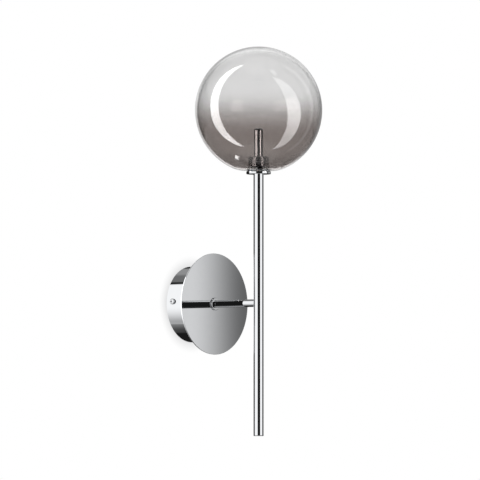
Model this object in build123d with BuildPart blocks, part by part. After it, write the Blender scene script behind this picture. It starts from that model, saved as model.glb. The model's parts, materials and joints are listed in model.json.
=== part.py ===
from build123d import *
import os
from math import cos, pi, radians, sin, sqrt, tan

# Globe wall sconce in millimetres. The wall is the plane y = 0, the lamp stands out
# towards -Y, and the origin is on the arm's axis where it meets the wall.

# ---------------------------------------------------------------- driving dimensions
# Canopy, front disc and wall plate
canopy_diameter = 90.0
canopy_depth = 35.0
canopy_wall = 1.2
canopy_edge_radius = 1.0
disc_diameter = 120.0
disc_thickness = 1.5
disc_edge_radius = 0.3
plate_thickness = 2.0
plate_rim_gap = 3.8
ear_width = 12.0
ear_thickness = 2.0
ear_beyond_screw = 6.0
ear_corner_radius = 2.0
ear_gap = 0.4

# Holes that the wall side needs
wall_slot_spacing = 60.0
wall_slot_length = 12.0
wall_slot_width = 5.0
cable_hole_diameter = 14.0
grommet_bore = 10.0
grommet_flange_width = 1.6
grommet_flange_height = 1.5

# Side screws of the canopy
canopy_screw_diameter = 4.0
canopy_screw_head_diameter = 7.0
canopy_screw_head_height = 2.2
canopy_screw_from_wall = 10.0
canopy_screw_above_arm = 2.5
canopy_screw_beyond_ear = 1.5

# Earth screw, washer and tag
earth_screw_diameter = 4.0
earth_head_diameter = 7.6
earth_head_height = 2.4
earth_x = 17.0
earth_z = -6.0
earth_washer_diameter = 8.0
earth_washer_thickness = 0.6
earth_tag_diameter = 8.4
earth_tag_thickness = 0.8
earth_tag_tail_width = 3.2
earth_tag_tail_length = 9.0

# Terminal block
pole_count = 3
pole_pitch = 9.0
block_end_wall = 4.5
block_height = 12.0
block_depth = 14.0
block_rim_gap = 10.0
sleeve_diameter = 5.2
sleeve_bore = 3.0
sleeve_length = 11.0
clamp_screw_diameter = 2.4
clamp_screw_head_diameter = 3.2
clamp_screw_spacing = 6.4
block_screw_diameter = 2.5
block_screw_head_diameter = 4.4
block_screw_head_height = 1.6

# LED driver
driver_length = 50.0
driver_height = 17.0
driver_depth = 19.0
driver_wall = 1.5
driver_rim_gap = 2.4
driver_pad_thickness = 1.0
driver_pad_margin = 4.0
driver_board_thickness = 1.2
driver_board_standoff = 3.0
driver_board_margin = 1.0
transformer_size = 11.0
transformer_x = 4.0
capacitor_diameter = 6.0
capacitor_length = 10.0
capacitor_positions = (-14.0, 16.5)

# Arm with its collar, washer, nut and bush
arm_diameter = 9.0
arm_bore = 7.0
arm_reach = 104.5
arm_behind_nut = 2.3
collar_diameter = 15.0
collar_thickness = 2.0
collar_edge_radius = 0.8
washer_diameter = 15.0
washer_thickness = 1.0
washer_teeth = 8
nut_across_flats = 13.0
nut_height = 4.0
nut_chamfer = 0.5
bush_bore = 4.6
bush_length = 8.0
bush_flange_height = 1.0

# Rod with its end cap and insert
rod_diameter = 12.0
rod_wall = 1.0
rod_below_arm = 156.5
rod_above_arm = 151.7
cap_height = 2.0
cap_edge_radius = 1.0
cap_plug_length = 8.0
insert_length = 12.0
insert_bore = 4.4
stud_diameter = 8.0
stud_beyond_nut = 4.7

# Flange, threaded sleeve, nut and gasket under the globe
flange_diameter = 29.0
flange_height = 3.6
flange_edge_radius = 0.9
sleeve_floor = 2.5
globe_sleeve_diameter = 19.6
globe_sleeve_height = 17.0
shoulder_height = 3.6
thread_depth = 0.9
thread_pitch = 2.8
thread_turns = 4
thread_root_width = 1.5
thread_crest_width = 0.6
sleeve_upper_bore = 15.8
sleeve_lower_bore = 14.4
sleeve_nut_across_flats = 12.0
sleeve_nut_height = 3.5
gasket_thickness = 0.46
gasket_edge_setback = 1.0

# Post with the LED ring at its foot
post_diameter = 10.5
post_top_above_flange = 51.0
post_top_radius = 3.0
post_bore_end_wall = 10.0
lead_hole_diameter = 1.8
led_board_thickness = 1.0
led_count = 10
led_radial_width = 1.6
led_length = 2.0
led_height = 0.6
diffuser_air_gap = 0.8
diffuser_thickness = 1.2
diffuser_skirt = 0.6

# Glass globe
globe_diameter = 150.0
glass_thickness = 2.2
globe_foot_flattening = 3.5
globe_foot_radius = 36.0
neck_wall = 2.2
neck_height = 16.7
neck_fillet = 1.8
neck_rim_radius = 0.9
pip_count = 3
pip_diameter = 0.9
pip_to_root = 0.35

# Leads
led_lead_diameter = 1.3
led_lead_spacing = 1.6
led_lead_pad_overlap = 1.3
led_lead_corner_radius = 10.0
led_lead_exit_radius = 2.5
mains_lead_diameter = 2.0
mains_lead_into_sleeve = 4.0
mains_lead_drop = 9.0
driver_lead_y = -12.0
led_lead_drop_y = -14.0
led_lead_drop_radius = 6.0
driver_lead_rise = 9.0
live_lead_driver_x = -20.0
neutral_lead_driver_x = -12.0

# Clearances
seat_gap = 0.02
press_gap = 0.05
bolt_gap = 0.2
thread_gap = 0.3
recess_gap = 0.15

# ---------------------------------------------------------------- where things stand
canopy_radius = canopy_diameter / 2
canopy_inner_radius = canopy_radius - canopy_wall
canopy_front_y = -canopy_depth
canopy_inside_front_y = canopy_front_y + canopy_wall
disc_front_y = canopy_front_y - disc_thickness
washer_rear_y = canopy_inside_front_y + washer_thickness
nut_rear_y = washer_rear_y + nut_height
arm_rear_y = nut_rear_y + arm_behind_nut

plate_front_y = -plate_thickness
plate_radius = canopy_inner_radius - plate_rim_gap
screw_y = -canopy_screw_from_wall
screw_z = canopy_screw_above_arm
ear_reach_z = screw_z + ear_width / 2
ear_outer_x = sqrt(canopy_inner_radius**2 - ear_reach_z**2) - ear_gap
ear_inner_x = ear_outer_x - ear_thickness
ear_centre_x = ear_outer_x - ear_thickness / 2
ear_front_y = screw_y - ear_beyond_screw

arm_radius = arm_diameter / 2
arm_hole_radius = arm_radius + press_gap
rod_radius = rod_diameter / 2
rod_bore_radius = rod_radius - rod_wall
rod_y = -arm_reach
rod_plane = Plane.XZ.offset(arm_reach)
rod_axis = Axis((0, rod_y, 0), (0, 0, 1))
rod_foot_z = -rod_below_arm
rod_top_z = rod_above_arm

flange_top_z = rod_top_z + flange_height
sleeve_top_z = flange_top_z + globe_sleeve_height
sleeve_floor_z = flange_top_z + sleeve_floor
sleeve_nut_top_z = sleeve_floor_z + sleeve_nut_height
stud_radius = stud_diameter / 2
stud_hole_radius = stud_radius + press_gap
stud_top_z = sleeve_nut_top_z + stud_beyond_nut
post_radius = post_diameter / 2
post_foot_z = sleeve_nut_top_z + bolt_gap
post_top_z = flange_top_z + post_top_above_flange

crest_radius = globe_sleeve_diameter / 2
root_radius = crest_radius - thread_depth
thread_start_z = flange_top_z + shoulder_height + thread_root_width / 2

led_lead_radius = led_lead_diameter / 2
lead_exit_z = stud_top_z + bolt_gap + lead_hole_diameter / 2
led_board_z = lead_exit_z + led_lead_radius + press_gap
led_board_top_z = led_board_z + led_board_thickness
ring_inner_radius = post_radius + recess_gap
ring_outer_radius = sleeve_upper_bore / 2 - recess_gap
led_circle_radius = (ring_inner_radius + ring_outer_radius - diffuser_skirt) / 2
diffuser_z = led_board_top_z + led_height + diffuser_air_gap

gasket_z = flange_top_z + seat_gap
glass_foot_z = gasket_z + gasket_thickness + seat_gap
globe_radius = globe_diameter / 2
globe_z = glass_foot_z + globe_radius - globe_foot_flattening
neck_bore_radius = crest_radius + thread_gap
neck_outer_radius = neck_bore_radius + neck_wall

driver_reach = canopy_inner_radius - driver_rim_gap
driver_foot_z = -sqrt(driver_reach**2 - (driver_length / 2) ** 2)
driver_top_z = driver_foot_z + driver_height
driver_y = plate_front_y - driver_pad_thickness
driver_centre_z = driver_top_z - driver_height / 2
block_length = (pole_count - 1) * pole_pitch + 2 * block_end_wall
block_reach = canopy_inner_radius - block_rim_gap
block_foot_z = sqrt(block_reach**2 - (block_length / 2) ** 2) - block_height
block_centre_z = block_foot_z + block_height / 2
sleeve_y = plate_front_y - block_depth / 2
block_front_y = plate_front_y - block_depth
pole_positions = [(i - (pole_count - 1) / 2) * pole_pitch for i in range(pole_count)]
block_screw_positions = [x + pole_pitch / 2 for x in pole_positions[:-1]]

os.makedirs("parts", exist_ok=True)


# ---------------------------------------------------------------- wall plate
# A round steel plate with a flat on each side, against which an ear is welded on edge.
with BuildPart() as wall_plate:
    with BuildSketch(Plane.XZ):
        Circle(plate_radius)
        with Locations((0, screw_z)):
            Rectangle(2 * ear_inner_x, ear_width)
        with Locations((ear_outer_x, screw_z), (-ear_outer_x, screw_z)):
            Rectangle(2 * ear_thickness, ear_width, mode=Mode.SUBTRACT)
        Circle(cable_hole_diameter / 2, mode=Mode.SUBTRACT)
        with GridLocations(wall_slot_spacing, 0, 2, 1):
            SlotOverall(wall_slot_length, wall_slot_width, mode=Mode.SUBTRACT)
        with Locations((earth_x, earth_z)):
            Circle(earth_screw_diameter / 2 + press_gap, mode=Mode.SUBTRACT)
        with Locations([(x, block_centre_z) for x in block_screw_positions]):
            Circle(block_screw_diameter / 2 + press_gap, mode=Mode.SUBTRACT)
    extrude(amount=plate_thickness)
wall_plate.part.label = "wall_plate"
export_step(wall_plate.part, "parts/wall_plate.step")

# The ears take the canopy's side screws.
with BuildPart() as screw_ears:
    with BuildSketch(Plane.XZ):
        with Locations((ear_centre_x, screw_z), (-ear_centre_x, screw_z)):
            Rectangle(ear_thickness, ear_width)
    extrude(amount=-ear_front_y)
    fillet(screw_ears.edges().filter_by(Axis.X).group_by(Axis.Y)[0], radius=ear_corner_radius)
    with BuildSketch(Plane.YZ):
        with Locations((screw_y, screw_z)):
            Circle(canopy_screw_diameter / 2 + press_gap)
    extrude(amount=canopy_radius, both=True, mode=Mode.SUBTRACT)
screw_ears.part.label = "screw_ears"
export_step(screw_ears.part, "parts/screw_ears.step")

# Rubber bush that guards the supply cable at the plate's hole.
grommet_barrel_radius = cable_hole_diameter / 2 - press_gap
with BuildPart() as cable_grommet:
    with BuildSketch(Plane.XZ):
        Circle(grommet_barrel_radius)
    extrude(amount=plate_thickness)
    with BuildSketch(Plane.XZ.offset(plate_thickness)):
        Circle(cable_hole_diameter / 2 + grommet_flange_width)
    extrude(amount=grommet_flange_height)
    fillet(cable_grommet.faces().sort_by(Axis.Y)[0].edges(), radius=grommet_flange_height / 3)
    with BuildSketch(Plane.XZ):
        Circle(grommet_bore / 2)
    extrude(amount=plate_thickness + grommet_flange_height, mode=Mode.SUBTRACT)
cable_grommet.part.label = "cable_grommet"
export_step(cable_grommet.part, "parts/cable_grommet.step")


# ---------------------------------------------------------------- earth connection
# The tag lies on the plate, the washer on the tag and the screw's head on the washer.
tag_front = plate_thickness + earth_tag_thickness
earth_head_seat = tag_front + earth_washer_thickness
earth_hole_radius = earth_screw_diameter / 2 + bolt_gap
with BuildPart() as earth_tag:
    with BuildSketch(Plane.XZ.offset(plate_thickness)):
        with Locations((earth_x, earth_z)):
            Circle(earth_tag_diameter / 2)
            Rectangle(earth_tag_tail_width, earth_tag_tail_length, align=(Align.CENTER, Align.MIN))
            Circle(earth_hole_radius, mode=Mode.SUBTRACT)
    extrude(amount=earth_tag_thickness)
earth_tag.part.label = "earth_tag"
export_step(earth_tag.part, "parts/earth_tag.step")

with BuildPart() as earth_washer:
    with BuildSketch(Plane.XZ.offset(tag_front)):
        with Locations((earth_x, earth_z)):
            Circle(earth_washer_diameter / 2)
            Circle(earth_hole_radius, mode=Mode.SUBTRACT)
            with PolarLocations(earth_washer_diameter / 2, washer_teeth):
                Circle(earth_washer_thickness, mode=Mode.SUBTRACT)
    extrude(amount=earth_washer_thickness)
earth_washer.part.label = "earth_washer"
export_step(earth_washer.part, "parts/earth_washer.step")

with BuildPart() as earth_screw:
    with BuildSketch(Plane.XZ.offset(earth_head_seat)):
        with Locations((earth_x, earth_z)):
            Circle(earth_head_diameter / 2)
    extrude(amount=earth_head_height)
    fillet(earth_screw.faces().sort_by(Axis.Y)[0].edges(), radius=earth_head_height / 3)
    with BuildSketch(Plane.XZ.offset(press_gap)):
        with Locations((earth_x, earth_z)):
            Circle(earth_screw_diameter / 2)
    extrude(amount=earth_head_seat - press_gap)
    with BuildSketch(Plane.XZ.offset(earth_head_seat + earth_head_height)):
        with Locations((earth_x, earth_z)):
            Rectangle(earth_head_diameter, earth_head_height / 3)
            Rectangle(earth_head_height / 3, earth_head_diameter * 0.6)
    extrude(amount=-earth_head_height / 2, mode=Mode.SUBTRACT)
earth_screw.part.label = "earth_screw"
export_step(earth_screw.part, "parts/earth_screw.step")


# ---------------------------------------------------------------- terminal block
# Three poles side by side. A brass sleeve lies in each, with two clamping screws.
sleeve_hole_radius = sleeve_diameter / 2 + press_gap
clamp_hole_radius = clamp_screw_head_diameter / 2 + recess_gap
clamp_screw_points = [
    (x, block_centre_z + side * clamp_screw_spacing / 2)
    for x in pole_positions
    for side in (-1, 1)
]
block_screw_points = [(x, block_centre_z) for x in block_screw_positions]
block_screw_seat = -block_front_y - block_screw_head_height
with BuildPart() as terminal_block:
    with BuildSketch(Plane.XZ.offset(plate_thickness)):
        with Locations((0, block_centre_z)):
            Rectangle(block_length, block_height)
    extrude(amount=block_depth)
    fillet(terminal_block.edges().filter_by(Axis.Y), radius=recess_gap * 5)
    with BuildSketch(Plane.XY.offset(block_foot_z)):
        with Locations([(x, sleeve_y) for x in pole_positions]):
            Circle(sleeve_hole_radius)
    extrude(amount=block_height, mode=Mode.SUBTRACT)
    with BuildSketch(Plane.XZ.offset(-block_front_y)):
        with Locations(clamp_screw_points):
            Circle(clamp_hole_radius)
    extrude(amount=-block_depth / 2, mode=Mode.SUBTRACT)
    with BuildSketch(Plane.XZ.offset(-block_front_y)):
        with Locations(block_screw_points):
            Circle(block_screw_diameter / 2 + recess_gap)
    extrude(amount=-block_depth, mode=Mode.SUBTRACT)
    with BuildSketch(Plane.XZ.offset(-block_front_y)):
        with Locations(block_screw_points):
            Circle(block_screw_head_diameter / 2 + recess_gap)
    extrude(amount=-block_screw_head_height, mode=Mode.SUBTRACT)
terminal_block.part.label = "terminal_block"
export_step(terminal_block.part, "parts/terminal_block.step")

with BuildPart() as terminal_sleeves:
    with BuildSketch(Plane.XY.offset(block_centre_z - sleeve_length / 2)):
        with Locations([(x, sleeve_y) for x in pole_positions]):
            Circle(sleeve_diameter / 2)
            Circle(sleeve_bore / 2, mode=Mode.SUBTRACT)
    extrude(amount=sleeve_length)
    with BuildSketch(Plane.XZ.offset(-sleeve_y)):
        with Locations(clamp_screw_points):
            Circle(clamp_screw_diameter / 2 + press_gap)
    extrude(amount=sleeve_diameter, mode=Mode.SUBTRACT)
terminal_sleeves.part.label = "terminal_sleeves"
export_step(terminal_sleeves.part, "parts/terminal_sleeves.step")

clamp_screw_tip = -sleeve_y + mains_lead_diameter / 2 + press_gap
clamp_head_seat = -sleeve_y + sleeve_diameter / 2 + recess_gap
clamp_head_height = clamp_screw_head_diameter / 2
with BuildPart() as terminal_screws:
    with BuildSketch(Plane.XZ.offset(clamp_screw_tip)):
        with Locations(clamp_screw_points):
            Circle(clamp_screw_diameter / 2)
    extrude(amount=clamp_head_seat - clamp_screw_tip)
    with BuildSketch(Plane.XZ.offset(clamp_head_seat)):
        with Locations(clamp_screw_points):
            Circle(clamp_screw_head_diameter / 2)
    extrude(amount=clamp_head_height)
    with BuildSketch(Plane.XZ.offset(clamp_head_seat + clamp_head_height)):
        with Locations(clamp_screw_points):
            Rectangle(clamp_screw_head_diameter + 2 * recess_gap, clamp_screw_head_diameter / 5)
    extrude(amount=-clamp_head_height / 2, mode=Mode.SUBTRACT)
terminal_screws.part.label = "terminal_screws"
export_step(terminal_screws.part, "parts/terminal_screws.step")

with BuildPart() as terminal_fixing_screws:
    with BuildSketch(Plane.XZ.offset(press_gap)):
        with Locations(block_screw_points):
            Circle(block_screw_diameter / 2)
    extrude(amount=block_screw_seat - press_gap)
    with BuildSketch(Plane.XZ.offset(block_screw_seat)):
        with Locations(block_screw_points):
            Circle(block_screw_head_diameter / 2)
            Rectangle(block_screw_head_diameter, block_screw_head_diameter / 6, mode=Mode.SUBTRACT)
    extrude(amount=block_screw_head_height)
    with BuildSketch(Plane.XZ.offset(block_screw_seat)):
        with Locations(block_screw_points):
            Circle(block_screw_head_diameter / 2)
    extrude(amount=block_screw_head_height / 2)
terminal_fixing_screws.part.label = "terminal_fixing_screws"
export_step(terminal_fixing_screws.part, "parts/terminal_fixing_screws.step")


# ---------------------------------------------------------------- LED driver
# A case open to the front, closed by a cover, stuck on the plate by a pad.
driver_inner_length = driver_length - 2 * driver_wall
driver_inner_height = driver_height - 2 * driver_wall
driver_plane = Plane.XZ.offset(-driver_y)
lead_gland_radius = mains_lead_diameter / 2 + bolt_gap
gland_points = [(live_lead_driver_x, driver_lead_y), (neutral_lead_driver_x, driver_lead_y)]
led_gland_width = led_lead_diameter + 2 * recess_gap
with BuildPart() as driver_pad:
    with BuildSketch(Plane.XZ.offset(plate_thickness)):
        with Locations((0, driver_centre_z)):
            Rectangle(driver_length - driver_pad_margin, driver_height - driver_pad_margin)
    extrude(amount=driver_pad_thickness)
driver_pad.part.label = "driver_pad"
export_step(driver_pad.part, "parts/driver_pad.step")

with BuildPart() as driver_case:
    with BuildSketch(driver_plane):
        with Locations((0, driver_centre_z)):
            RectangleRounded(driver_length, driver_height, driver_wall)
    extrude(amount=driver_depth - driver_wall)
    with BuildSketch(driver_plane.offset(driver_wall)):
        with Locations((0, driver_centre_z)):
            Rectangle(driver_inner_length, driver_inner_height)
    extrude(amount=driver_depth, mode=Mode.SUBTRACT)
    with BuildSketch(Plane.XY.offset(driver_top_z)):
        with Locations(gland_points):
            Circle(lead_gland_radius)
        with Locations((0, led_lead_drop_y)):
            SlotCenterToCenter(led_lead_spacing, led_gland_width)
    extrude(amount=-driver_wall, mode=Mode.SUBTRACT)
driver_case.part.label = "driver_case"
export_step(driver_case.part, "parts/driver_case.step")

with BuildPart() as driver_cover:
    with BuildSketch(driver_plane.offset(driver_depth - driver_wall)):
        with Locations((0, driver_centre_z)):
            RectangleRounded(driver_length, driver_height, driver_wall)
    extrude(amount=driver_wall)
    fillet(driver_cover.faces().sort_by(Axis.Y)[0].edges(), radius=driver_wall / 3)
    with BuildSketch(driver_plane.offset(driver_depth - driver_wall)):
        with Locations((0, driver_centre_z)):
            Rectangle(
                driver_inner_length - 2 * recess_gap,
                driver_inner_height - 2 * recess_gap,
            )
    extrude(amount=-driver_wall)
driver_cover.part.label = "driver_cover"
export_step(driver_cover.part, "parts/driver_cover.step")

board_length = driver_inner_length - 2 * driver_board_margin
board_height = driver_inner_height - 2 * driver_board_margin
board_y = driver_wall + driver_board_standoff
parts_y = board_y + driver_board_thickness
standoff_x = board_length / 2 - driver_wall
with BuildPart() as driver_board:
    with BuildSketch(driver_plane.offset(board_y)):
        with Locations((0, driver_centre_z)):
            Rectangle(board_length, board_height)
    extrude(amount=driver_board_thickness)
    with BuildSketch(driver_plane.offset(driver_wall)):
        with Locations((standoff_x, driver_centre_z), (-standoff_x, driver_centre_z)):
            Circle(driver_wall)
    extrude(amount=driver_board_standoff)
driver_board.part.label = "driver_board"
export_step(driver_board.part, "parts/driver_board.step")

with BuildPart() as driver_transformer:
    with BuildSketch(driver_plane.offset(parts_y)):
        with Locations((transformer_x, driver_centre_z)):
            Rectangle(transformer_size, transformer_size)
    extrude(amount=transformer_size * 0.7)
    fillet(driver_transformer.edges().filter_by(Axis.Y), radius=driver_wall)
driver_transformer.part.label = "driver_transformer"
export_step(driver_transformer.part, "parts/driver_transformer.step")

with BuildPart() as driver_capacitors:
    with BuildSketch(driver_plane.offset(parts_y)):
        with Locations([(x, driver_centre_z) for x in capacitor_positions]):
            Circle(capacitor_diameter / 2)
    extrude(amount=capacitor_length)
    fillet(driver_capacitors.faces().sort_by(Axis.Y)[:2].edges(), radius=driver_wall / 3)
driver_capacitors.part.label = "driver_capacitors"
export_step(driver_capacitors.part, "parts/driver_capacitors.step")


# ---------------------------------------------------------------- canopy and disc
# The canopy is a spun cup, open to the wall. The disc lies on its front.
with BuildPart() as canopy:
    with BuildSketch(Plane.XY):
        with BuildLine():
            Polyline(
                (arm_hole_radius, canopy_front_y),
                (canopy_radius, canopy_front_y),
                (canopy_radius, 0),
                (canopy_inner_radius, 0),
                (canopy_inner_radius, canopy_inside_front_y),
                (arm_hole_radius, canopy_inside_front_y),
                close=True,
            )
        make_face()
    revolve(axis=Axis.Y)
    rim = canopy.edges().filter_by(GeomType.CIRCLE).group_by(Axis.Y)[0].sort_by(SortBy.RADIUS)[-1]
    fillet(rim, radius=canopy_edge_radius)
    with BuildSketch(Plane.YZ):
        with Locations((screw_y, screw_z)):
            Circle(canopy_screw_diameter / 2 + bolt_gap)
    extrude(amount=canopy_diameter, both=True, mode=Mode.SUBTRACT)
canopy.part.label = "canopy"
export_step(canopy.part, "parts/canopy.step")

with BuildPart() as front_disc:
    with BuildSketch(Plane.XZ.offset(canopy_depth)):
        Circle(disc_diameter / 2)
        Circle(arm_hole_radius, mode=Mode.SUBTRACT)
    extrude(amount=disc_thickness)
    rims = front_disc.edges().filter_by(GeomType.CIRCLE).sort_by(SortBy.RADIUS)[-2:]
    fillet(rims, radius=disc_edge_radius)
front_disc.part.label = "front_disc"
export_step(front_disc.part, "parts/front_disc.step")

# Two raised-head screws, one from each side, that reach through the canopy into the ears.
head_seat_x = canopy_radius + seat_gap
screw_tip_x = ear_inner_x - canopy_screw_beyond_ear
cross_width = canopy_screw_head_diameter / 8
cross_length = canopy_screw_head_diameter * 0.6
with BuildPart() as canopy_screws:
    for side in (-1, 1):
        outward = Plane(origin=(0, screw_y, screw_z), x_dir=(0, 1, 0), z_dir=(side, 0, 0))
        with BuildSketch(outward.offset(head_seat_x)):
            Circle(canopy_screw_head_diameter / 2)
        extrude(amount=canopy_screw_head_height)
        head_rim = canopy_screws.faces().sort_by(Axis.X)[0 if side < 0 else -1].edges()
        fillet(head_rim, radius=canopy_screw_head_height * 0.6)
        with BuildSketch(outward.offset(screw_tip_x)):
            Circle(canopy_screw_diameter / 2)
        extrude(amount=head_seat_x - screw_tip_x)
        with BuildSketch(outward.offset(head_seat_x + canopy_screw_head_height)):
            Rectangle(cross_length, cross_width)
            Rectangle(cross_width, cross_length)
        extrude(amount=-canopy_screw_head_height * 0.6, mode=Mode.SUBTRACT)
canopy_screws.part.label = "canopy_screws"
export_step(canopy_screws.part, "parts/canopy_screws.step")


# ---------------------------------------------------------------- arm
# The arm runs through disc and canopy, and its front end is shaped to the rod.
with BuildPart() as arm_tube:
    with BuildSketch(Plane.XZ.offset(-arm_rear_y)):
        Circle(arm_radius)
        Circle(arm_bore / 2, mode=Mode.SUBTRACT)
    extrude(amount=arm_reach + arm_rear_y)
    with BuildSketch(Plane.XY.offset(-arm_diameter)):
        with Locations((0, rod_y)):
            Circle(rod_radius)
    extrude(amount=2 * arm_diameter, mode=Mode.SUBTRACT)
arm_tube.part.label = "arm_tube"
export_step(arm_tube.part, "parts/arm_tube.step")

with BuildPart() as arm_collar:
    with BuildSketch(Plane.XZ.offset(-disc_front_y)):
        Circle(collar_diameter / 2)
        Circle(arm_hole_radius, mode=Mode.SUBTRACT)
    extrude(amount=collar_thickness)
    collar_rims = arm_collar.edges().filter_by(GeomType.CIRCLE).sort_by(SortBy.RADIUS)[-2:]
    fillet(collar_rims, radius=collar_edge_radius)
arm_collar.part.label = "arm_collar"
export_step(arm_collar.part, "parts/arm_collar.step")

with BuildPart() as arm_washer:
    with BuildSketch(Plane.XZ.offset(-washer_rear_y)):
        Circle(washer_diameter / 2)
        Circle(arm_hole_radius, mode=Mode.SUBTRACT)
        with PolarLocations(washer_diameter / 2, washer_teeth):
            Circle(washer_thickness, mode=Mode.SUBTRACT)
    extrude(amount=washer_thickness)
arm_washer.part.label = "arm_washer"
export_step(arm_washer.part, "parts/arm_washer.step")

with BuildPart() as arm_nut:
    with BuildSketch(Plane.XZ.offset(-nut_rear_y)):
        RegularPolygon(nut_across_flats / 2, 6, major_radius=False)
        Circle(arm_hole_radius, mode=Mode.SUBTRACT)
    extrude(amount=nut_height)
    nut_corners = arm_nut.edges().filter_by(Axis.Y)
    chamfer(nut_corners, length=nut_chamfer)
arm_nut.part.label = "arm_nut"
export_step(arm_nut.part, "parts/arm_nut.step")

# Plastic bush in the arm's rear mouth, so that its edge can't cut the leads.
with BuildPart() as cable_bush:
    with BuildSketch(Plane.XZ.offset(-arm_rear_y)):
        Circle(arm_bore / 2 - press_gap)
    extrude(amount=bush_length)
    with BuildSketch(Plane.XZ.offset(-arm_rear_y)):
        Circle(arm_radius)
    extrude(amount=-bush_flange_height)
    with BuildSketch(Plane.XZ.offset(-arm_rear_y - bush_flange_height)):
        Circle(bush_bore / 2)
    extrude(amount=bush_length + bush_flange_height, mode=Mode.SUBTRACT)
    bush_mouth = cable_bush.faces().sort_by(Axis.Y)[-1].edges()
    fillet(bush_mouth, radius=bush_flange_height / 3)
cable_bush.part.label = "cable_bush"
export_step(cable_bush.part, "parts/cable_bush.step")


# ---------------------------------------------------------------- rod
# A plain tube with one side hole, which meets the arm's bore.
with BuildPart() as rod_tube:
    with BuildSketch(Plane.XY.offset(rod_foot_z + cap_height)):
        with Locations((0, rod_y)):
            Circle(rod_radius)
            Circle(rod_bore_radius, mode=Mode.SUBTRACT)
    extrude(amount=rod_top_z - rod_foot_z - cap_height)
    with BuildSketch(Plane.XZ.offset(arm_reach - rod_diameter)):
        Circle(arm_bore / 2)
    extrude(amount=rod_diameter, mode=Mode.SUBTRACT)
rod_tube.part.label = "rod_tube"
export_step(rod_tube.part, "parts/rod_tube.step")

with BuildPart() as rod_end_cap:
    with BuildSketch(Plane.XY.offset(rod_foot_z)):
        with Locations((0, rod_y)):
            Circle(rod_radius)
    extrude(amount=cap_height)
    fillet(rod_end_cap.faces().sort_by(Axis.Z)[0].edges(), radius=cap_edge_radius)
    with BuildSketch(Plane.XY.offset(rod_foot_z + cap_height)):
        with Locations((0, rod_y)):
            Circle(rod_bore_radius - press_gap)
    extrude(amount=cap_plug_length)
rod_end_cap.part.label = "rod_end_cap"
export_step(rod_end_cap.part, "parts/rod_end_cap.step")

with BuildPart() as rod_insert:
    with BuildSketch(Plane.XY.offset(rod_top_z - insert_length)):
        with Locations((0, rod_y)):
            Circle(rod_bore_radius - press_gap)
    extrude(amount=insert_length)
    with BuildSketch(Plane.XY.offset(rod_top_z)):
        with Locations((0, rod_y)):
            Circle(stud_radius)
    extrude(amount=stud_top_z - rod_top_z)
    with BuildSketch(Plane.XY.offset(rod_top_z - insert_length)):
        with Locations((0, rod_y)):
            Circle(insert_bore / 2)
    extrude(amount=stud_top_z - rod_top_z + insert_length, mode=Mode.SUBTRACT)
rod_insert.part.label = "rod_insert"
export_step(rod_insert.part, "parts/rod_insert.step")


# ---------------------------------------------------------------- flange and sleeve
with BuildPart() as globe_flange:
    with BuildSketch(Plane.XY.offset(rod_top_z)):
        with Locations((0, rod_y)):
            Circle(flange_diameter / 2)
            Circle(stud_hole_radius, mode=Mode.SUBTRACT)
    extrude(amount=flange_height)
    flange_rims = globe_flange.edges().filter_by(GeomType.CIRCLE).sort_by(SortBy.RADIUS)[-2:]
    fillet(flange_rims, radius=flange_edge_radius)
globe_flange.part.label = "globe_flange"
export_step(globe_flange.part, "parts/globe_flange.step")

# The sleeve is a cup with a hole in its floor, a ledge for the LED ring and a
# right-hand thread of rounded height on its outside.
with BuildPart() as threaded_sleeve:
    with BuildSketch(rod_plane):
        with BuildLine():
            Polyline(
                (stud_hole_radius, flange_top_z),
                (crest_radius, flange_top_z),
                (crest_radius, flange_top_z + shoulder_height),
                (root_radius, flange_top_z + shoulder_height),
                (root_radius, sleeve_top_z),
                (sleeve_upper_bore / 2, sleeve_top_z),
                (sleeve_upper_bore / 2, led_board_z),
                (sleeve_lower_bore / 2, led_board_z),
                (sleeve_lower_bore / 2, sleeve_floor_z),
                (stud_hole_radius, sleeve_floor_z),
                close=True,
            )
        make_face()
    revolve(axis=rod_axis)
    with BuildLine() as thread_path:
        Helix(
            pitch=thread_pitch,
            height=thread_pitch * thread_turns,
            radius=root_radius,
            center=(0, rod_y, thread_start_z),
        )
    thread_start = thread_path.line @ 0
    thread_way = thread_path.line % 0
    with BuildSketch(Plane(origin=thread_start, x_dir=(1, 0, 0), z_dir=thread_way)):
        with BuildLine():
            Polyline(
                (-recess_gap, -thread_root_width / 2),
                (thread_depth, -thread_crest_width / 2),
                (thread_depth, thread_crest_width / 2),
                (-recess_gap, thread_root_width / 2),
                close=True,
            )
        make_face()
    sweep(path=thread_path.line, is_frenet=True)
threaded_sleeve.part.label = "threaded_sleeve"
export_step(threaded_sleeve.part, "parts/threaded_sleeve.step")

with BuildPart() as sleeve_nut:
    with BuildSketch(Plane.XY.offset(sleeve_floor_z)):
        with Locations((0, rod_y)):
            RegularPolygon(sleeve_nut_across_flats / 2, 6, major_radius=False)
            Circle(stud_hole_radius, mode=Mode.SUBTRACT)
    extrude(amount=sleeve_nut_height)
sleeve_nut.part.label = "sleeve_nut"
export_step(sleeve_nut.part, "parts/sleeve_nut.step")


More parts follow.
